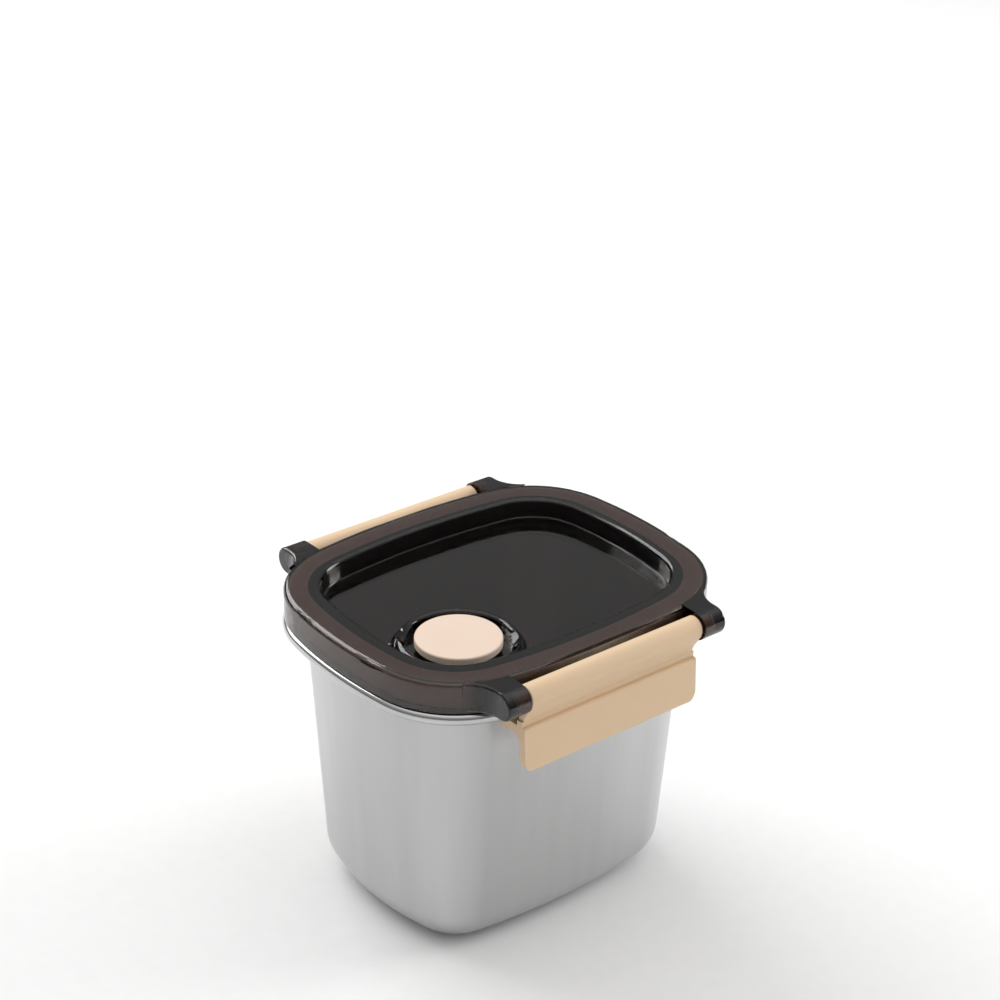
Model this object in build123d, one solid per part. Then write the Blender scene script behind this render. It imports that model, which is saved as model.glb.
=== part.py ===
from build123d import *
import math
import os

# Food canister: a deep drawn stainless pot with a bulged, rounded-rectangle mouth, closed by a
# tinted plastic lid. Two plastic latches on the long sides swing down and hook under the rolled
# rim. A lift-up vent button sits in a raised collar at one corner of the lid.
# Frame: millimetres, origin at the middle of the base, +Z up, long side along X.
# The front latch is on -Y and the vent button is near the (-X, -Y) corner.

# ---- Driving dimensions ----------------------------------------------------------------------

recess_plane_z = 111.5      # height of the inner edge of the lid's ring above the table
clearance = 0.3             # gap between bodies that move apart
snug = 0.1                  # gap between pieces of the same body

# The lid's plan shape, at the inner edge of its ring. Every ring-shaped feature of the lid and
# of the rolled rim is this outline grown or shrunk by an offset.
lid_half_x = 55.1
lid_half_y = 43.0
lid_end_radius = 146.0      # bulge of the two short sides (at +X and -X)
lid_side_radius = 250.0     # bulge of the two long sides (at +Y and -Y)
lid_corner_radius = 21.9

# Pot
pot_half_x = 59.6           # outside of the wall, just under the flange
pot_half_y = 47.5
pot_end_radius = 100.0
pot_side_radius = 244.0
pot_corner_radius = 25.0
sheet = 0.6                 # thickness of the stainless sheet
draft = 3.3                 # wall draft in degrees
base_fillet = 15.0
flange_z = 100.7            # top of the flange that the lid's seal presses on
bead_radius = 2.2           # rolled bead around the flange's edge
bead_offset = 9.2           # centre of the bead, from the lid outline
bead_opening = 150.0        # the curl turns on under the flange and stops short of closing
mouth_edge = 0.4            # rounding of the mouth's inner edge

# Lid
crown = 0.5                 # rise of the ring above the recess edge
ring_width = 10.8
skirt_z = 101.0             # lower edge of the skirt
skirt_wall = 1.7
ring_roof_z = 110.2         # ceiling of the seal channel
recess_floor_z = 105.2
recess_edge = 1.5           # rounding of the recess's upper edge
recess_run = 2.1            # how far in the foot of the recess wall stands
floor_thickness = 2.0
plug_out = 2.4              # the rib that centres the lid in the pot's mouth and backs the seal
plug_in = 0.9
plug_z = 96.5

# Latches and hinges
hinge_y = 57.3
hinge_z = 106.9
barrel_radius = 3.95
barrel_half = 34.9
ear_radius = 4.7
ear_in_x = 35.5
ear_out_x = 44.3
ear_root_x = 50.0
ear_corner = 0.9
lid_back_y = 52.2           # flat cut in the lid behind each latch
stub_radius = 2.3
stub_length = 4.4
socket_radius = 2.36
socket_depth = 5.2
pad_half = 35.4
neck_half = 34.7
pad_back_y = 56.1
pad_front_top_y = 58.5
pad_front_bottom_y = 59.5
pad_top_z = 95.8
pad_bottom_z = 80.0
pad_corner = 4.2
neck_back_y = 54.8
neck_front_y = 56.9
neck_crease_z = 98.6
hook_tip_y = 46.9
hook_low_z = 92.4
hook_gap = 0.5              # space between the hook and the rolled rim while the lid is shut
hook_top_z = flange_z - 2 * bead_radius - hook_gap

# Vent
vent_x = -31.5
vent_y = -20.5
button_radius = 14.0
button_top_z = 110.0
button_thickness = 2.4
boss_radius = 10.5          # narrower step under the button
boss_z = 106.6
collar_in = 17.1
collar_lip = 1.0
collar_top_z = 109.3
collar_foot = 23.5
notch_radius = 13.0         # finger notches in the collar
notch_reach = 10.0
notch_z = 107.2
stem_radius = 3.8
stem_hole = 4.2
foot_radius = 5.0
foot_height = 2.0
vent_travel = 4.0
stem_slot = 1.8
seal_disc_radius = 9.0
seal_disc_z = recess_floor_z + snug / 2


# ---- Shared shapes ----------------------------------------------------------------------------

LID = (lid_half_x, lid_half_y, lid_end_radius, lid_side_radius, lid_corner_radius)
POT = (pot_half_x, pot_half_y, pot_end_radius, pot_side_radius, pot_corner_radius)


def outline_arcs(shape, grow=0.0):
    """The eight tangent arcs of a bulged rounded rectangle: (centre x, y, radius, start, turn)."""
    half_x, half_y, end_radius, side_radius, corner_radius = shape
    end_x = half_x - end_radius
    side_y = half_y - side_radius
    to_end = end_radius - corner_radius
    to_side = side_radius - corner_radius
    span = math.hypot(end_x, side_y)
    along = (to_end**2 - to_side**2 + span**2) / (2 * span)
    across = math.sqrt(to_end**2 - along**2)
    corner_x = end_x + (-end_x * along - side_y * across) / span
    corner_y = (side_y * along - end_x * across) / span
    low = math.degrees(math.atan2(corner_y, corner_x - end_x))
    high = math.degrees(math.atan2(corner_y - side_y, corner_x))
    arcs = []
    for turn, sign in ((0, 1), (180, -1)):
        arcs += [
            (sign * end_x, 0, end_radius, turn - low, 2 * low),
            (sign * corner_x, sign * corner_y, corner_radius, turn + low, high - low),
            (0, sign * side_y, side_radius, turn + high, 180 - 2 * high),
            (-sign * corner_x, sign * corner_y, corner_radius, turn + 180 - high, high - low),
        ]
    return [(x, y, radius + grow, start, size) for x, y, radius, start, size in arcs]


def outline(shape, grow=0.0, z=0.0):
    """Flat face inside the grown outline, at height z."""
    edges = [
        CenterArc((x, y, z), radius, start, size)
        for x, y, radius, start, size in outline_arcs(shape, grow)
    ]
    return Face(Wire(edges))


def prism(shape, grow, low, high):
    return extrude(outline(shape, grow, low), high - low, dir=(0, 0, 1))


def section(points):
    """Closed profile from (across, up, corner radius) points, in its own XY plane."""
    corners = [(across, up) for across, up, _ in points]
    radii = [radius for _, _, radius in points]
    return make_face(FilletPolyline(*corners, radius=radii, close=True))


def ring(shape, profile):
    """The profile, drawn as (offset, height), carried right round the outline."""
    result = None
    for x, y, radius, start, size in outline_arcs(shape):
        out = Vector(math.cos(math.radians(start)), math.sin(math.radians(start)), 0)
        plane = Plane(
            origin=Vector(x, y, 0) + out * radius, x_dir=out, z_dir=(out.Y, -out.X, 0)
        )
        length = revolve(plane * profile, Axis((x, y, 0), (0, 0, 1)), size)
        result = length if result is None else result + length
    return result


def block(x0, x1, y0, y1, z0, z1):
    return Pos((x0 + x1) / 2, (y0 + y1) / 2, (z0 + z1) / 2) * Box(x1 - x0, y1 - y0, z1 - z0)


def rod(radius, x0, x1, y, z):
    """Round bar along X."""
    return Pos((x0 + x1) / 2, y, z) * Rot(0, 90, 0) * Cylinder(radius, x1 - x0)


def save(part, name):
    part.label = name
    export_step(part, f"parts/{name}.step")


# ---- Pot: one piece of drawn stainless sheet --------------------------------------------------

def drafted(inset, low, high, fillet_radius):
    """Solid that widens upwards with the wall's draft, with its bottom edge rounded."""
    shrink = inset + (flange_z - low) * math.tan(math.radians(draft))
    solid = extrude(outline(POT, -shrink, low), high - low, dir=(0, 0, 1), taper=-draft)
    bottom = solid.edges().group_by(Axis.Z)[0]
    return fillet(bottom, fillet_radius)


def make_canister_body():
    outer = drafted(0, 0, flange_z, base_fillet)
    inner = drafted(sheet, sheet, flange_z + 5, base_fillet - sheet)
    flange = prism(LID, bead_offset - 0.5, flange_z - sheet, flange_z)
    middle = (bead_offset, flange_z - bead_radius)
    curl_inside = bead_radius - sheet
    finish = math.radians(90 + bead_opening - 360)
    half = math.radians((90 + (90 + bead_opening - 360)) / 2)

    def at(radius, angle):
        return (middle[0] + radius * math.cos(angle), middle[1] + radius * math.sin(angle))

    quarter = math.pi / 2
    curl = make_face(
        [
            Line((bead_offset - 1, flange_z - sheet), (bead_offset - 1, flange_z)),
            Line((bead_offset - 1, flange_z), at(bead_radius, quarter)),
            ThreePointArc(at(bead_radius, quarter), at(bead_radius, half), at(bead_radius, finish)),
            Line(at(bead_radius, finish), at(curl_inside, finish)),
            ThreePointArc(at(curl_inside, finish), at(curl_inside, half), at(curl_inside, quarter)),
            Line(at(curl_inside, quarter), (bead_offset - 1, flange_z - sheet)),
        ]
    )
    body = outer + flange + ring(LID, curl) - inner

    def on_mouth(edge):
        box = edge.bounding_box()
        wide = max(-box.min.X, box.max.X) < pot_half_x and max(-box.min.Y, box.max.Y) < pot_half_y
        return wide and box.min.Z > flange_z - 0.01

    return fillet(body.edges().filter_by(on_mouth), mouth_edge)


# ---- Lid --------------------------------------------------------------------------------------

def make_ears(side):
    """Two hinge ears on one long side, flared into the ring, with blind sockets for the stubs."""
    reach = hinge_y + ear_radius + 1
    root_y = lid_back_y - 12
    ears = None
    for hand in (-1, 1):
        plan = make_face(
            [
                Line((ear_in_x, root_y), (ear_in_x, reach)),
                Line((ear_in_x, reach), (ear_out_x, reach)),
                Line((ear_out_x, reach), (ear_out_x, hinge_y - 1.5)),
                ThreePointArc(
                    (ear_out_x, hinge_y - 1.5),
                    (ear_out_x + 1.2, hinge_y - 6.4),
                    (ear_root_x, root_y + 6),
                ),
                Line((ear_root_x, root_y + 6), (ear_in_x, root_y)),
            ]
        )
        slab = extrude(Pos(0, 0, skirt_z) * plan, recess_plane_z + crown - skirt_z, dir=(0, 0, 1))
        ear_top = (hinge_y, hinge_z + ear_radius)
        ear_foot = (hinge_y, hinge_z - ear_radius)
        side_view = make_face(
            [
                Line((root_y, skirt_z), ear_foot),
                ThreePointArc(ear_foot, (hinge_y + ear_radius, hinge_z), ear_top),
                Line(ear_top, (root_y, recess_plane_z + crown)),
                Line((root_y, recess_plane_z + crown), (root_y, skirt_z)),
            ]
        )
        across = Plane(origin=(ear_in_x - 1, 0, 0), x_dir=(0, 1, 0), z_dir=(1, 0, 0)) * side_view
        ear = slab & extrude(across, ear_root_x - ear_in_x + 2, dir=(1, 0, 0))
        end = ear.faces().filter_by(Axis.X).sort_by(Axis.X)[-1]
        ear = fillet(end.edges().filter_by(lambda edge: edge.center().Y > hinge_y - 1), ear_corner)
        ear -= rod(socket_radius, ear_in_x - 1, ear_in_x + socket_depth, hinge_y, hinge_z)
        if hand < 0:
            ear = mirror(ear, Plane.YZ)
        if side < 0:
            ear = mirror(ear, Plane.XZ)
        ears = ear if ears is None else ears + ear
    return ears


def make_lid_shell():
    under = recess_floor_z - floor_thickness
    skirt_in = ring_width - skirt_wall
    profile = section(
        [
            (-recess_run - 4, recess_floor_z, 0),
            (-recess_run, recess_floor_z, 0.5),
            (-0.9 * recess_edge, recess_plane_z + 0.2, recess_edge),
            (ring_width / 2, recess_plane_z + crown, 20),
            (ring_width - 0.15, recess_plane_z + 0.1, 1.8),
            (ring_width, skirt_z, 0.3),
            (skirt_in, skirt_z, 0.3),
            (skirt_in - 0.1, ring_roof_z, 0.5),
            (plug_out, ring_roof_z, 0.5),
            (plug_out, plug_z, 0.5),
            (plug_in, plug_z, 0.4),
            (plug_in - 0.4, under, 0.6),
            (-recess_run - 4, under, 0),
        ]
    )
    shell = ring(LID, profile)
    shell += prism(LID, -recess_run - 3.5, under, recess_floor_z)

    # Vent collar: an upright inner wall, a rounded lip and a flank that sweeps down to the floor.
    flank = make_face(
        [
            Line((collar_in, under + 0.5), (collar_in, collar_top_z - collar_lip)),
            ThreePointArc(
                (collar_in, collar_top_z - collar_lip),
                (collar_in + 0.3 * collar_lip, collar_top_z - 0.3 * collar_lip),
                (collar_in + collar_lip, collar_top_z),
            ),
            Spline(
                (collar_in + collar_lip, collar_top_z),
                (collar_in + 3.4, recess_floor_z + 1.5),
                (collar_foot, recess_floor_z),
                tangents=((1, 0), (1, 0)),
            ),
            Line((collar_foot, recess_floor_z), (collar_foot, under + 0.5)),
            Line((collar_foot, under + 0.5), (collar_in, under + 0.5)),
        ]
    )
    upright = Plane(origin=(vent_x, vent_y, 0), x_dir=(1, 0, 0), z_dir=(0, -1, 0))
    collar = revolve(upright * flank, Axis((vent_x, vent_y, 0), (0, 0, 1)), 360)
    shell += collar & prism(LID, 1.0, under, recess_plane_z)
    well = Pos(vent_x, vent_y, recess_floor_z) * Cylinder(
        collar_in, 20, align=(Align.CENTER, Align.CENTER, Align.MIN)
    )
    shell -= well

    # Two shallow notches in the collar let a finger and thumb grip the button.
    notch_wall = collar_in - notch_reach
    notch_middle_z = notch_z + math.sqrt(notch_radius**2 - notch_wall**2)
    for turn in (-45, 135):
        notch = Pos(
            vent_x + notch_reach * math.cos(math.radians(turn)),
            vent_y + notch_reach * math.sin(math.radians(turn)),
            notch_middle_z,
        ) * Sphere(notch_radius)
        shell -= notch

    # Flat cuts behind the latches leave room for their barrels.
    for side in (-1, 1):
        edge = sorted((side * lid_back_y, side * (lid_back_y + 12)))
        gap = block(-ear_in_x, ear_in_x, *edge, skirt_z - 1, recess_plane_z + 2)
        inward = gap.edges().filter_by(Axis.Z).filter_by(lambda bar: abs(bar.center().Y) < lid_back_y + 1)
        shell -= fillet(inward, ear_corner)
        shell += make_ears(side) - prism(LID, ring_width - skirt_wall, 90, 120)
    shell -= Pos(vent_x, vent_y, recess_floor_z) * Cylinder(stem_hole, 12)
    return shell


def make_lid_gasket():
    """Silicone ring in the lid's channel: a square back with a narrower lip that meets the flange."""
    inner = plug_out + snug
    outer = ring_width - skirt_wall - 2 * snug
    top = ring_roof_z - snug
    middle = (inner + outer) / 2
    profile = section(
        [
            (inner, top, 0.4),
            (outer, top, 0.4),
            (outer, top - 3.6, 0.4),
            (middle + 1.5, top - 4.6, 0.4),
            (middle + 1.3, flange_z + clearance, 0.9),
            (middle - 1.3, flange_z + clearance, 0.9),
            (middle - 1.5, top - 4.6, 0.4),
            (inner, top - 3.6, 0.4),
        ]
    )
    return ring(LID, profile)


# ---- Latches ----------------------------------------------------------------------------------

def make_latch(side):
    """One moulded flap: hinge barrel with two stubs, neck, finger pad and the hook under the rim."""
    barrel = rod(barrel_radius, -barrel_half, barrel_half, hinge_y, hinge_z)
    barrel = chamfer(barrel.edges().filter_by(GeomType.CIRCLE), 0.3)
    stubs = rod(
        stub_radius, -barrel_half - stub_length, barrel_half + stub_length, hinge_y, hinge_z
    )

    def slab(points, half):
        face = section(points)
        plane = Plane(origin=(-half, 0, 0), x_dir=(0, 1, 0), z_dir=(1, 0, 0))
        return extrude(plane * face, 2 * half, dir=(1, 0, 0))

    def front_view(points):
        """Prism through the latch's thickness with the given front view."""
        plane = Plane(origin=(0, hook_tip_y - 1, 0), x_dir=(1, 0, 0), z_dir=(0, -1, 0))
        mirrored = [(-x, z, radius) for x, z, radius in reversed(points)]
        return extrude(plane * section(points + mirrored), -(hinge_y - hook_tip_y + 10))

    # The neck's front leaves the barrel along a tangent and curves down to the pad.
    to_crease = math.hypot(neck_front_y - hinge_y, neck_crease_z - hinge_z)
    lean = math.acos(barrel_radius / to_crease)
    lean += math.atan2(neck_front_y - hinge_y, hinge_z - neck_crease_z)
    leave_y = hinge_y + barrel_radius * math.sin(lean)
    leave_z = hinge_z - barrel_radius * math.cos(lean)
    neck = slab(
        [
            (hinge_y - 2.5, hinge_z, 0),
            (hinge_y, hinge_z, 0),
            (leave_y, leave_z, 0),
            (neck_front_y, neck_crease_z, 8),
            (neck_front_y, pad_top_z - 2, 0),
            (neck_back_y, pad_top_z - 2, 0),
            (neck_back_y, hinge_z - barrel_radius, 0),
        ],
        barrel_half,
    )
    # The neck's ends curve out to the barrel above and to the pad below.
    neck_top_z = hinge_z - barrel_radius + 1.2
    curve_out = pad_half - neck_half - 0.1
    neck &= front_view(
        [
            (barrel_half, hinge_z, 0),
            (barrel_half, neck_top_z, 0),
            (neck_half, neck_top_z, barrel_half - neck_half - 0.05),
            (neck_half, pad_top_z, curve_out),
            (pad_half, pad_top_z, 0),
            (pad_half, pad_top_z - 3, 0),
        ]
    )
    pad = slab(
        [
            (neck_back_y, pad_top_z, 0),
            (pad_front_top_y, pad_top_z, 0.6),
            (pad_front_bottom_y, pad_bottom_z, 1.0),
            (pad_back_y + 0.3, pad_bottom_z, 1.0),
            (pad_back_y, hook_low_z - 1.5, 0),
            (neck_back_y, hook_low_z - 1.5, 0),
        ],
        pad_half,
    )
    hook = slab(
        [
            (pad_back_y + 1, hook_low_z - 2.5, 0),
            (pad_back_y, hook_low_z - 2.5, 0),
            (pad_back_y, hook_low_z, 1.4),
            (hook_tip_y, hook_low_z, 0.5),
            (hook_tip_y, hook_low_z + 1.9, 0.4),
            (hook_tip_y + 1.6, hook_top_z, 0.4),
            (neck_back_y, hook_top_z, 0.4),
            (neck_back_y, hook_top_z + 2, 0),
            (pad_back_y + 1, hook_top_z + 2, 0),
        ],
        pad_half,
    )
    grip = pad + hook
    grip &= front_view([(pad_half, hook_top_z + 3, 0), (pad_half, pad_bottom_z, pad_corner)])
    grip -= prism(POT, clearance + 0.1, 80, 110)
    latch = barrel + stubs + neck + grip
    if side < 0:
        latch = mirror(latch, Plane.XZ)
    return latch


# ---- Vent -------------------------------------------------------------------------------------

def make_vent_button():
    """Round cap with a split stem whose feet catch under the lid and stop it at full lift."""
    sit = (Align.CENTER, Align.CENTER, Align.MIN)
    low = button_top_z - button_thickness
    cap = Pos(vent_x, vent_y, low) * Cylinder(button_radius, button_thickness, align=sit)
    rims = cap.edges().filter_by(GeomType.CIRCLE).sort_by(Axis.Z)
    cap = fillet(rims[-1:], 0.6)
    boss = Pos(vent_x, vent_y, boss_z) * Cylinder(boss_radius, low - boss_z, align=sit)
    foot_top = recess_floor_z - floor_thickness - vent_travel - snug
    foot_low = foot_top - foot_height
    stem = Pos(vent_x, vent_y, foot_low) * Cylinder(stem_radius, boss_z - foot_low, align=sit)
    foot = Pos(vent_x, vent_y, foot_low) * Cone(
        stem_radius - 0.4, foot_radius, foot_height, align=sit
    )
    slot_top = recess_floor_z - 0.5
    slot = Pos(vent_x, vent_y, foot_low - 1) * Box(
        2 * foot_radius + 2, stem_slot, slot_top - foot_low + 1, align=sit
    )
    return cap + boss + (stem + foot - slot)


def make_vent_seal():
    """Soft ring on the stem, pressed on the lid's floor while the button is down."""
    height = boss_z - snug / 2 - seal_disc_z
    base = Pos(vent_x, vent_y, seal_disc_z)
    sit = (Align.CENTER, Align.CENTER, Align.MIN)
    disc = base * Cone(seal_disc_radius, seal_disc_radius - 1.2, height, align=sit)
    return disc - base * Cylinder(stem_radius + 0.05, height, align=sit)


# ---- Write every piece ------------------------------------------------------------------------

os.makedirs("parts", exist_ok=True)
save(make_canister_body(), "canister_body")
save(make_lid_shell(), "lid_shell")
save(make_lid_gasket(), "lid_gasket")
save(make_latch(-1), "front_latch")
save(make_latch(1), "rear_latch")
save(make_vent_button(), "vent_button")
save(make_vent_seal(), "vent_seal")
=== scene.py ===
import math

import bpy
import bmesh
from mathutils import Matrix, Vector


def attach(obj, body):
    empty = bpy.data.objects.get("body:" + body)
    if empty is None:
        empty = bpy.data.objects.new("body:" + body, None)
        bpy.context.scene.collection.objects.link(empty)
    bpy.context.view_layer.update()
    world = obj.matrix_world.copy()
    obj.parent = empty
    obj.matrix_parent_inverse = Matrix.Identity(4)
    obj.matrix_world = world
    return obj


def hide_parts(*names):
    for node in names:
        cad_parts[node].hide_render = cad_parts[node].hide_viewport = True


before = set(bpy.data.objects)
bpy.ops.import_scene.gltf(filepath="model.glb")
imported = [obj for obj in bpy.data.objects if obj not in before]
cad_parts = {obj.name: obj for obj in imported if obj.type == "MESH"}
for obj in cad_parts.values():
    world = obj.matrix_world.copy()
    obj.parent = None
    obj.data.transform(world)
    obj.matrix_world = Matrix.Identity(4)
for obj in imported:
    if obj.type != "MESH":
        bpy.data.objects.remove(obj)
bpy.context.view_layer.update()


# ---- Camera ----
# A product camera with a moderately long lens stands about 0.8 m away, above the corner with the
# vent button. The lens is shifted so that the canister sits low in the frame.
camera_data = bpy.data.cameras.new("product_camera")
camera_data.sensor_width = 36.0
camera_data.lens = 80.47
camera_data.shift_x = 0.0655
camera_data.shift_y = 0.1942
camera = bpy.data.objects.new("product_camera", camera_data)
camera.location = (-0.4024, -0.4953, 0.4661)
camera_tilt = math.radians(57.92)
camera_turn = math.radians(-37.28)
camera.rotation_euler = (camera_tilt, 0.0, camera_turn)
bpy.context.scene.collection.objects.link(camera)
bpy.context.scene.camera = camera
bpy.context.scene.view_settings.view_transform = "Standard"


# ---- Floor ----
# A wide sheet of matt white background paper lies under the canister and runs out of view on
# every side. It is uncoated paper, pressed smooth, with the faint cloudiness of its fibres.
def linear(hex_colour):
    """The linear colour that a shader takes, from sRGB hex such as '#c8b09a'."""
    channels = [int(hex_colour[i : i + 2], 16) / 255 for i in (1, 3, 5)]
    return [c / 12.92 if c <= 0.04045 else ((c + 0.055) / 1.055) ** 2.4 for c in channels] + [1.0]


def add_node(tree, kind, links=None, sockets=None, **settings):
    """Adds a node, sets its properties and its sockets, and links sockets from other nodes."""
    node = tree.nodes.new(kind)
    for name, value in settings.items():
        setattr(node, name, value)
    for name, value in (sockets or {}).items():
        node.inputs[name].default_value = value
    for name, source in (links or {}).items():
        tree.links.new(source, node.inputs[name])
    return node


def start_material(name):
    """An empty material, its node tree and the position on the piece that its patterns read."""
    material = bpy.data.materials.new(name)
    material.use_nodes = True
    tree = material.node_tree
    tree.nodes.clear()
    return material, tree, add_node(tree, "ShaderNodeTexCoord").outputs["Object"]


paper_reach = 6.0
floor_drop = 0.0002
paper_fibre = 0.006
floor_mesh = bpy.data.meshes.new("floor")
floor_corners = [(-1, -1), (1, -1), (1, 1), (-1, 1)]
floor_mesh.from_pydata(
    [(x * paper_reach, y * paper_reach, -floor_drop) for x, y in floor_corners], [], [(0, 1, 2, 3)]
)
paper, tree, place = start_material("uncoated_white_paper")
fibres = add_node(
    tree, "ShaderNodeTexNoise", {"Vector": place}, {"Scale": 1 / paper_fibre, "Detail": 4.0}
)
paper_tone = add_node(tree, "ShaderNodeValToRGB", {"Fac": fibres.outputs["Fac"]})
paper_tone.color_ramp.elements[0].color = linear("#f0f0f0")
paper_tone.color_ramp.elements[1].color = linear("#f5f5f4")
paper_shader = add_node(
    tree, "ShaderNodeBsdfPrincipled", {"Base Color": paper_tone.outputs["Color"]}, {"Roughness": 0.9}
)
add_node(tree, "ShaderNodeOutputMaterial", {"Surface": paper_shader.outputs["BSDF"]})
floor_mesh.materials.append(paper)
floor = bpy.data.objects.new("floor", floor_mesh)
bpy.context.scene.collection.objects.link(floor)


# ---- Light ----
# A white cloth tent, bright overhead and dark at table level, which draws the lid's dark edges.
# A large softbox stands behind and a little to the left. A smaller one on the right lights the
# paper that the pot's long side mirrors.
world = bpy.data.worlds.new("cloth_tent")
world.use_nodes = True
bpy.context.scene.world = world
tree = world.node_tree
tree.nodes.clear()
direction = add_node(tree, "ShaderNodeTexCoord").outputs["Generated"]
height = add_node(tree, "ShaderNodeSeparateXYZ", {"Vector": direction}).outputs["Z"]
tent = add_node(tree, "ShaderNodeValToRGB", {"Fac": height})
tent_bands = [(0.0, 0.08), (0.16, 0.20), (0.34, 0.32), (0.60, 0.44), (0.80, 1.00), (1.0, 1.20)]
while len(tent.color_ramp.elements) < len(tent_bands):
    tent.color_ramp.elements.new(1.0)
for stop, (level, brightness) in zip(tent.color_ramp.elements, tent_bands):
    stop.position = level
    stop.color = (brightness, brightness, brightness, 1.0)
sky = add_node(tree, "ShaderNodeBackground", {"Color": tent.outputs["Color"]}, {"Strength": 1.0})
add_node(tree, "ShaderNodeOutputWorld", {"Surface": sky.outputs["Background"]})


lamp_aim = Vector((0.0, 0.0, 0.06))


def softbox(name, place_m, size_m, watts):
    """A rectangular light that faces the canister's middle."""
    data = bpy.data.lights.new(name, "AREA")
    data.shape = "RECTANGLE"
    data.size, data.size_y = size_m
    data.energy = watts
    lamp = bpy.data.objects.new(name, data)
    lamp.location = place_m
    aim = lamp_aim - Vector(place_m)
    lamp.rotation_euler = aim.to_track_quat("-Z", "Y").to_euler()
    bpy.context.scene.collection.objects.link(lamp)


softbox("back_softbox", (-0.15, 1.25, 0.95), (1.3, 0.9), 15.0)
softbox("right_softbox", (1.15, -0.45, 0.5), (0.6, 0.6), 7.0)


# ---- Canister body ----
# The pot is one piece of 0.6 mm stainless steel sheet, deep drawn with a slight taper and then
# curled over at the mouth. Its wall is satin finished, and the curled rim is polished.
sheet = 0.0006
flange_z = 0.1007
wall_lean = math.radians(3.3)
wall_draft = math.tan(wall_lean)
base_fillet = 0.015
wall_bend = 0.0008
mouth_edge = 0.0004
bead_radius = 0.0022
bead_offset = 0.0092
bead_finish = math.radians(-120)
columns_round = 480
weld_reach = 0.00001
sliver_length = 1e-7
crease_angle = math.radians(35)
pot_outline = {
    "Half X": 0.0596,
    "Half Y": 0.0475,
    "End radius": 0.1,
    "Side radius": 0.244,
    "Corner radius": 0.025,
}
rim_outline = {
    "Half X": 0.0551,
    "Half Y": 0.043,
    "End radius": 0.146,
    "Side radius": 0.25,
    "Corner radius": 0.0219,
}


def arc(middle, radius, start, finish, steps):
    """Points (across, up) along an arc."""
    turns = [start + (finish - start) * i / steps for i in range(steps + 1)]
    return [(middle[0] + radius * math.cos(t), middle[1] + radius * math.sin(t)) for t in turns]


def wall_side(inset, floor_z, fillet, top_z):
    """Wall profile from the flat base up to top_z: the base's round edge, then the taper."""
    foot = -inset - (flange_z - floor_z) * wall_draft
    run = fillet / math.tan((math.pi / 2 + wall_lean) / 2)
    rows = arc((foot - run, floor_z + fillet), fillet, -math.pi / 2, -wall_lean, 14)
    straight = 5
    low = rows[-1][1]
    for i in range(1, straight + 1):
        up = low + (top_z - low) * i / straight
        rows.append((-inset - (flange_z - up) * wall_draft, up))
    return rows


# Each row of the pot is (across, up, how far it belongs to the rim, how far it is gathered in).
outer_wall = wall_side(0.0, 0.0, base_fillet, flange_z - sheet - wall_bend)
inner_wall = wall_side(sheet, sheet, base_fillet - sheet, flange_z - mouth_edge)
outer_bend = arc((wall_bend, flange_z - sheet - wall_bend), wall_bend, math.pi, math.pi / 2, 4)
mouth_round = arc((-sheet + mouth_edge, flange_z - mouth_edge), mouth_edge, math.pi / 2, math.pi, 4)
bead_middle = (bead_offset, flange_z - bead_radius)
curl_inside = arc(bead_middle, bead_radius - sheet, math.pi / 2, bead_finish, 20)
curl_outside = arc(bead_middle, bead_radius, bead_finish, math.pi / 2, 28)
pot_rows = [(*outer_wall[0], 0, 1.0), (*outer_wall[0], 0, 0.5)]
pot_rows += [(*point, 0, 0) for point in outer_wall + outer_bend[1:]]
pot_rows += [(*point, 1, 0) for point in curl_inside + curl_outside]
pot_rows += [(*point, 0, 0) for point in mouth_round + inner_wall[-2::-1]]
pot_rows += [(*inner_wall[0], 0, 0.5), (*inner_wall[0], 0, 1.0)]

# The rows start as a flat strip: along X is the direction that the wall faces, in turns.
strip = bpy.data.meshes.new("canister_pot")
strip_points = []
strip_faces = []
for across, up, _, _ in pot_rows:
    strip_points += [(column / columns_round, across, up) for column in range(columns_round)]
for row in range(len(pot_rows) - 1):
    for column in range(columns_round):
        beside = (column + 1) % columns_round
        low, high = row * columns_round, (row + 1) * columns_round
        strip_faces.append((low + column, low + beside, high + beside, high + column))
strip.from_pydata(strip_points, [], strip_faces)
rim_share = strip.attributes.new("rim_share", "FLOAT", "POINT")
gather = strip.attributes.new("gather", "FLOAT", "POINT")
for index in range(len(strip_points)):
    rim_share.data[index].value = pot_rows[index // columns_round][2]
    gather.data[index].value = pot_rows[index // columns_round][3]
pot = bpy.data.objects.new("canister_pot", strip)
bpy.context.scene.collection.objects.link(pot)


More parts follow.
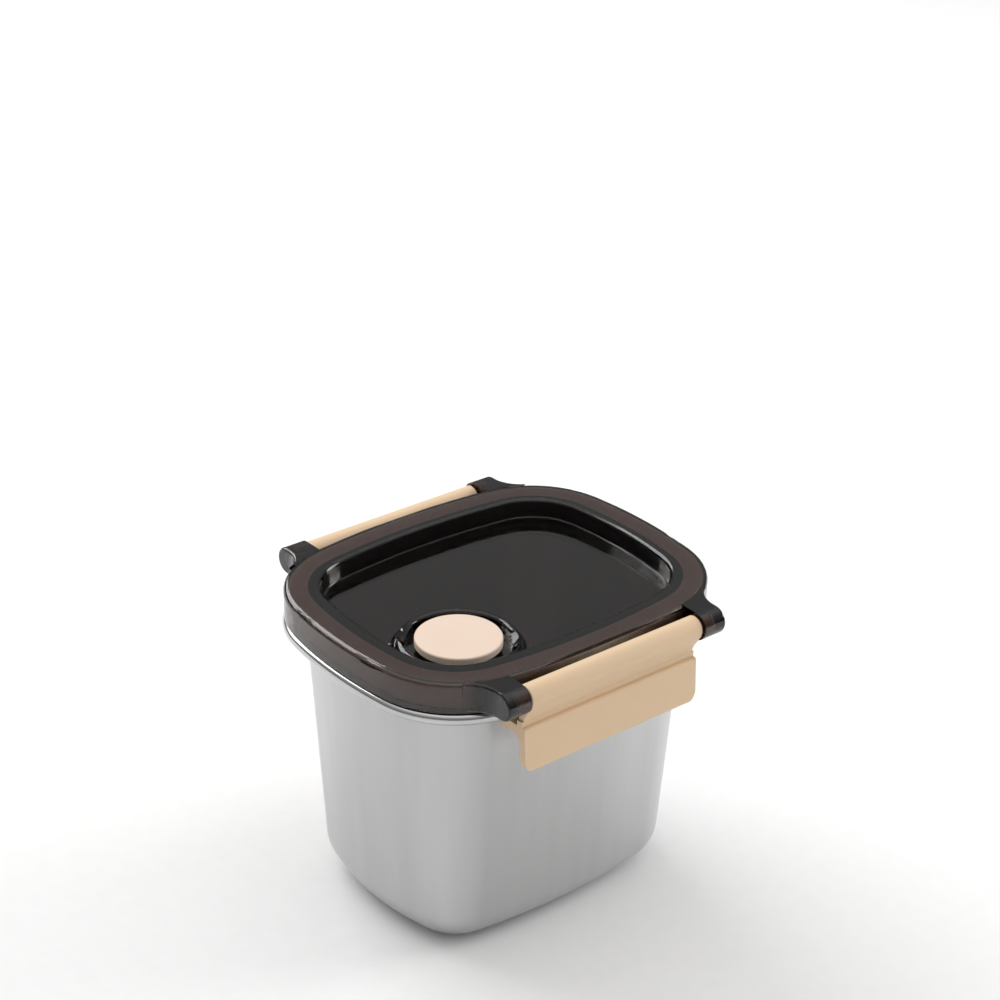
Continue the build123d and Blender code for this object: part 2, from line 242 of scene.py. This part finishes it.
def outline_tree():
    """Node group: the point of a bulged rounded rectangle that faces a given way, plus an offset.

    The quarter outline is three tangent arcs, so the way that it faces says which arc it is on.
    """
    tree = bpy.data.node_groups.new("bulged_outline", "GeometryNodeTree")
    for name in ("Facing", "Offset", "Half X", "Half Y", "End radius", "Side radius", "Corner radius"):
        tree.interface.new_socket(name, in_out="INPUT", socket_type="NodeSocketFloat")
    tree.interface.new_socket("Across", in_out="OUTPUT", socket_type="NodeSocketVector")
    given = add_node(tree, "NodeGroupInput").outputs

    def maths(operation, *values):
        node = add_node(tree, "ShaderNodeMath", operation=operation)
        for socket, value in zip(node.inputs, values):
            if isinstance(value, bpy.types.NodeSocket):
                tree.links.new(value, socket)
            else:
                socket.default_value = value
        return node.outputs[0]

    def choose(test, if_true, if_false):
        wanted = maths("MULTIPLY", test, if_true)
        otherwise = maths("MULTIPLY", maths("SUBTRACT", 1.0, test), if_false)
        return maths("ADD", wanted, otherwise)

    end_x = maths("SUBTRACT", given["Half X"], given["End radius"])
    side_y = maths("SUBTRACT", given["Half Y"], given["Side radius"])
    to_end = maths("SUBTRACT", given["End radius"], given["Corner radius"])
    to_side = maths("SUBTRACT", given["Side radius"], given["Corner radius"])
    span_square = maths("ADD", maths("MULTIPLY", end_x, end_x), maths("MULTIPLY", side_y, side_y))
    span = maths("SQRT", span_square)
    to_end_square = maths("MULTIPLY", to_end, to_end)
    difference = maths("SUBTRACT", to_end_square, maths("MULTIPLY", to_side, to_side))
    along = maths("DIVIDE", maths("ADD", difference, span_square), maths("MULTIPLY", 2.0, span))
    rest = maths("SUBTRACT", to_end_square, maths("MULTIPLY", along, along))
    aside = maths("SQRT", rest)
    unit_x = maths("DIVIDE", end_x, span)
    unit_y = maths("DIVIDE", side_y, span)
    back_x = maths("ADD", maths("MULTIPLY", unit_x, along), maths("MULTIPLY", unit_y, aside))
    corner_x = maths("SUBTRACT", end_x, back_x)
    corner_y = maths("SUBTRACT", maths("MULTIPLY", unit_y, along), maths("MULTIPLY", unit_x, aside))
    low = maths("ARCTAN2", corner_y, maths("SUBTRACT", corner_x, end_x))
    high = maths("ARCTAN2", maths("SUBTRACT", corner_y, side_y), corner_x)

    cosine = maths("COSINE", given["Facing"])
    sine = maths("SINE", given["Facing"])
    folded = maths("ARCTAN2", maths("ABSOLUTE", sine), maths("ABSOLUTE", cosine))
    on_end = maths("LESS_THAN", folded, low)
    on_side = maths("GREATER_THAN", folded, high)
    middle_x = choose(on_end, end_x, choose(on_side, 0.0, corner_x))
    middle_y = choose(on_end, 0.0, choose(on_side, side_y, corner_y))
    off_end_radius = choose(on_side, given["Side radius"], given["Corner radius"])
    radius = choose(on_end, given["End radius"], off_end_radius)
    reach = maths("ADD", radius, given["Offset"])
    placed_x = maths("MULTIPLY", maths("SIGN", cosine), middle_x)
    x = maths("ADD", placed_x, maths("MULTIPLY", reach, cosine))
    placed_y = maths("MULTIPLY", maths("SIGN", sine), middle_y)
    y = maths("ADD", placed_y, maths("MULTIPLY", reach, sine))
    point = add_node(tree, "ShaderNodeCombineXYZ", {"X": x, "Y": y})
    add_node(tree, "NodeGroupOutput", {"Across": point.outputs["Vector"]})
    return tree


def pot_tree(outline, material):
    """Carries the flat strip round the pot's outline, or the rim's, and gathers the base rows in."""
    tree = bpy.data.node_groups.new("pot_wall", "GeometryNodeTree")
    tree.interface.new_socket("Strip", in_out="INPUT", socket_type="NodeSocketGeometry")
    for part in ("Pot", "Rim"):
        for name in pot_outline:
            tree.interface.new_socket(f"{part} {name}", in_out="INPUT", socket_type="NodeSocketFloat")
    tree.interface.new_socket("Weld", in_out="INPUT", socket_type="NodeSocketFloat")
    tree.interface.new_socket("Pot", in_out="OUTPUT", socket_type="NodeSocketGeometry")
    given = add_node(tree, "NodeGroupInput").outputs
    position = add_node(tree, "GeometryNodeInputPosition").outputs[0]
    flat = add_node(tree, "ShaderNodeSeparateXYZ", {"Vector": position}).outputs
    facing = add_node(tree, "ShaderNodeMath", {0: flat["X"]}, {1: math.tau}, operation="MULTIPLY")
    across = {}
    for part in ("Pot", "Rim"):
        links = {name: given[f"{part} {name}"] for name in pot_outline}
        links |= {"Facing": facing.outputs[0], "Offset": flat["Y"]}
        across[part] = add_node(tree, "GeometryNodeGroup", links, node_tree=outline).outputs[0]

    def row_value(name):
        node = add_node(
            tree, "GeometryNodeInputNamedAttribute", None, {"Name": name}, data_type="FLOAT"
        )
        return node.outputs["Attribute"]

    rim = add_node(
        tree, "ShaderNodeVectorMath", {0: across["Rim"], 1: across["Pot"]}, operation="SUBTRACT"
    )
    share = add_node(
        tree, "ShaderNodeVectorMath", {0: rim.outputs[0], "Scale": row_value("rim_share")}, operation="SCALE"
    )
    plan = add_node(
        tree, "ShaderNodeVectorMath", {0: across["Pot"], 1: share.outputs[0]}, operation="ADD"
    )
    left = add_node(tree, "ShaderNodeMath", {1: row_value("gather")}, {0: 1.0}, operation="SUBTRACT")
    drawn_in = add_node(
        tree, "ShaderNodeVectorMath", {0: plan.outputs[0], "Scale": left.outputs[0]}, operation="SCALE"
    )
    raised = add_node(tree, "ShaderNodeCombineXYZ", {"Z": flat["Z"]})
    point = add_node(
        tree, "ShaderNodeVectorMath", {0: drawn_in.outputs[0], 1: raised.outputs[0]}, operation="ADD"
    )
    wall = add_node(
        tree, "GeometryNodeSetPosition", {"Geometry": given["Strip"], "Position": point.outputs[0]}
    )
    welded = add_node(
        tree, "GeometryNodeMergeByDistance", {"Geometry": wall.outputs[0], "Distance": given["Weld"]}
    )
    real = add_node(tree, "GeometryNodeRealizeInstances", {"Geometry": welded.outputs[0]})
    coated = add_node(
        tree, "GeometryNodeSetMaterial", {"Geometry": real.outputs[0]}, {"Material": material}
    )
    add_node(tree, "NodeGroupOutput", {"Pot": coated.outputs[0]})
    return tree


# Stainless steel: a grey metal. The wall has a fine bead-blasted satin that spreads reflections
# into soft bands, with a few faint streaks from the drawing press; the rim is buffed bright.
satin_grain = 0.0005        # coarser than the real 0.05 mm grit, so that it shows
satin_relief = 0.00005
satin_roughness = (0.29, 0.37)
polished_roughness = 0.16
press_streak = 0.007
streak_squash = 0.06        # the streaks run up the wall, far longer than they are wide
polish_starts_z = 0.0955
polish_ends_z = 0.0968
steel, tree, place = start_material("satin_stainless_steel")
grain = add_node(
    tree, "ShaderNodeTexNoise", {"Vector": place}, {"Scale": 1 / satin_grain, "Detail": 3.0}
)
stretched = add_node(tree, "ShaderNodeMapping", {"Vector": place}, {"Scale": (1.0, 1.0, streak_squash)})
streaks = add_node(
    tree, "ShaderNodeTexNoise", {"Vector": stretched.outputs[0]}, {"Scale": 1 / press_streak, "Detail": 3.0}
)
steel_tone = add_node(tree, "ShaderNodeValToRGB", {"Fac": streaks.outputs["Fac"]})
steel_tone.color_ramp.elements[0].color = linear("#bcbcbd")
steel_tone.color_ramp.elements[1].color = linear("#c8c8c8")
height = add_node(tree, "ShaderNodeSeparateXYZ", {"Vector": place}).outputs["Z"]
polish = add_node(
    tree,
    "ShaderNodeMapRange",
    {"Value": height},
    {"From Min": polish_starts_z, "From Max": polish_ends_z, "To Min": 0.0, "To Max": 1.0},
)
satin_rough = add_node(
    tree,
    "ShaderNodeMapRange",
    {"Value": grain.outputs["Fac"]},
    {"To Min": satin_roughness[0], "To Max": satin_roughness[1]},
)
roughness = add_node(
    tree,
    "ShaderNodeMapRange",
    {"Value": polish.outputs[0], "To Min": satin_rough.outputs[0]},
    {"To Max": polished_roughness},
)
satin_depth = add_node(
    tree, "ShaderNodeMapRange", {"Value": polish.outputs[0]}, {"To Min": 0.05, "To Max": 0.0}
)
satin_bump = add_node(
    tree,
    "ShaderNodeBump",
    {"Height": grain.outputs["Fac"], "Strength": satin_depth.outputs[0]},
    {"Distance": satin_relief},
)
around = add_node(tree, "ShaderNodeTangent", direction_type="RADIAL", axis="Z")
steel_shader = add_node(
    tree,
    "ShaderNodeBsdfPrincipled",
    {
        "Base Color": steel_tone.outputs["Color"],
        "Roughness": roughness.outputs[0],
        "Normal": satin_bump.outputs["Normal"],
        "Tangent": around.outputs["Tangent"],
    },
    {"Metallic": 1.0, "Anisotropic": 0.7, "Anisotropic Rotation": 0.25},
)
add_node(tree, "ShaderNodeOutputMaterial", {"Surface": steel_shader.outputs["BSDF"]})

wall_tree = pot_tree(outline_tree(), steel)
shaping = pot.modifiers.new("pot_wall", "NODES")
shaping.node_group = wall_tree
pot_sizes = {f"Pot {name}": size for name, size in pot_outline.items()}
pot_sizes |= {f"Rim {name}": size for name, size in rim_outline.items()}
pot_sizes["Weld"] = weld_reach
for item in wall_tree.interface.items_tree:
    if item.in_out == "INPUT" and item.name in pot_sizes:
        shaping[item.identifier] = pot_sizes[item.name]


def make_plain(piece):
    """Turns the evaluated object into a plain mesh with outward, smooth-shaded faces."""
    evaluated = piece.evaluated_get(bpy.context.evaluated_depsgraph_get())
    mesh = bpy.data.meshes.new_from_object(evaluated)
    piece.modifiers.clear()
    piece.data = mesh
    build = bmesh.new()
    build.from_mesh(mesh)
    bmesh.ops.dissolve_degenerate(build, dist=sliver_length, edges=build.edges)
    bmesh.ops.recalc_face_normals(build, faces=build.faces)
    build.to_mesh(mesh)
    build.free()
    mesh.shade_smooth()
    mesh.set_sharp_from_angle(angle=crease_angle)


bpy.context.view_layer.update()
make_plain(pot)
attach(pot, "canister")
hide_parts("canister_body")


# ---- Lid shell ----
# The lid is one injection moulding in a smoke-brown clear plastic, about 2 mm thick, with the
# hinge ears and the vent's collar moulded on. It is tinted right through, so thin walls look
# brown and thick ears look almost black.
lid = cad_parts["lid_shell"]
smoke_density = 645.0       # per metre: 2 mm of it lets about a third of the light through
handling_haze = 0.02
smoke, tree, place = start_material("smoke_brown_san")
haze = add_node(
    tree, "ShaderNodeTexNoise", {"Vector": place}, {"Scale": 1 / handling_haze, "Detail": 5.0}
)
smoke_rough = add_node(
    tree, "ShaderNodeMapRange", {"Value": haze.outputs["Fac"]}, {"To Min": 0.02, "To Max": 0.05}
)
smoke_shader = add_node(
    tree,
    "ShaderNodeBsdfPrincipled",
    {"Roughness": smoke_rough.outputs[0]},
    {"Base Color": linear("#ffffff"), "Transmission Weight": 1.0, "IOR": 1.57},
)
tint = add_node(
    tree,
    "ShaderNodeVolumeAbsorption",
    None,
    {"Color": linear("#803800"), "Density": smoke_density},
)
add_node(
    tree,
    "ShaderNodeOutputMaterial",
    {"Surface": smoke_shader.outputs["BSDF"], "Volume": tint.outputs["Volume"]},
)
lid.material_slots[0].material = smoke


# ---- Lid gasket ----
# A ring of pale silicone rubber is pressed into the channel under the lid's edge. Its lip seals
# on the pot's flange, and its cream colour shows faintly through the tinted plastic.
silicone_bloom = 0.003
silicone, tree, place = start_material("pale_silicone_rubber")
bloom = add_node(
    tree, "ShaderNodeTexNoise", {"Vector": place}, {"Scale": 1 / silicone_bloom, "Detail": 4.0}
)
silicone_tone = add_node(tree, "ShaderNodeValToRGB", {"Fac": bloom.outputs["Fac"]})
silicone_tone.color_ramp.elements[0].color = linear("#d8cfc3")
silicone_tone.color_ramp.elements[1].color = linear("#e3dcd2")
silicone_rough = add_node(
    tree, "ShaderNodeMapRange", {"Value": bloom.outputs["Fac"]}, {"To Min": 0.45, "To Max": 0.6}
)
silicone_shader = add_node(
    tree,
    "ShaderNodeBsdfPrincipled",
    {"Base Color": silicone_tone.outputs["Color"], "Roughness": silicone_rough.outputs[0]},
    {"IOR": 1.41, "Subsurface Weight": 0.2, "Subsurface Radius": (0.0012, 0.001, 0.0008)},
)
add_node(tree, "ShaderNodeOutputMaterial", {"Surface": silicone_shader.outputs["BSDF"]})
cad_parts["lid_gasket"].material_slots[0].material = silicone


# ---- Latches ----
# Each latch is one moulding in warm beige polypropylene: hinge barrel, neck, finger pad and the
# hook under the rim. It snaps into the lid's ears on two stubs.
mould_grain = 0.0006        # coarser than the real spark-eroded 0.1 mm grain, so that it shows
grain_relief = 0.00004
flow_marks_per_metre = 60.0


def polypropylene(name, shade, light, glow):
    """Opaque, slightly waxy plastic with the fine even grain of a spark-eroded mould."""
    material, tree, place = start_material(name)
    flow = add_node(
        tree, "ShaderNodeTexNoise", {"Vector": place}, {"Scale": flow_marks_per_metre, "Detail": 3.0}
    )
    tone = add_node(tree, "ShaderNodeValToRGB", {"Fac": flow.outputs["Fac"]})
    tone.color_ramp.elements[0].color = linear(shade)
    tone.color_ramp.elements[1].color = linear(light)
    grain = add_node(
        tree, "ShaderNodeTexNoise", {"Vector": place}, {"Scale": 1 / mould_grain, "Detail": 2.0}
    )
    rough = add_node(
        tree, "ShaderNodeMapRange", {"Value": grain.outputs["Fac"]}, {"To Min": 0.44, "To Max": 0.58}
    )
    bump = add_node(
        tree,
        "ShaderNodeBump",
        {"Height": grain.outputs["Fac"]},
        {"Strength": 0.18, "Distance": grain_relief},
    )
    shader = add_node(
        tree,
        "ShaderNodeBsdfPrincipled",
        {
            "Base Color": tone.outputs["Color"],
            "Roughness": rough.outputs[0],
            "Normal": bump.outputs["Normal"],
        },
        {"IOR": 1.49, "Subsurface Weight": glow, "Subsurface Radius": (0.0016, 0.0008, 0.0004)},
    )
    add_node(tree, "ShaderNodeOutputMaterial", {"Surface": shader.outputs["BSDF"]})
    return material


latch_plastic = polypropylene("beige_polypropylene", "#e0c3a0", "#e6c9a7", 0.25)
for side in ("front_latch", "rear_latch"):
    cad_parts[side].material_slots[0].material = latch_plastic


# ---- Vent button ----
# A round cap in a paler polypropylene with a split stem that clicks through the lid. Lifting it
# lets air in, so that the lid comes off easily.
button_plastic = polypropylene("cream_polypropylene", "#e2cbb8", "#e8d2c0", 0.1)
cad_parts["vent_button"].material_slots[0].material = button_plastic


# ---- Vent seal ----
# A soft washer of the same silicone sits on the stem under the button and closes the vent hole.
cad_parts["vent_seal"].material_slots[0].material = silicone
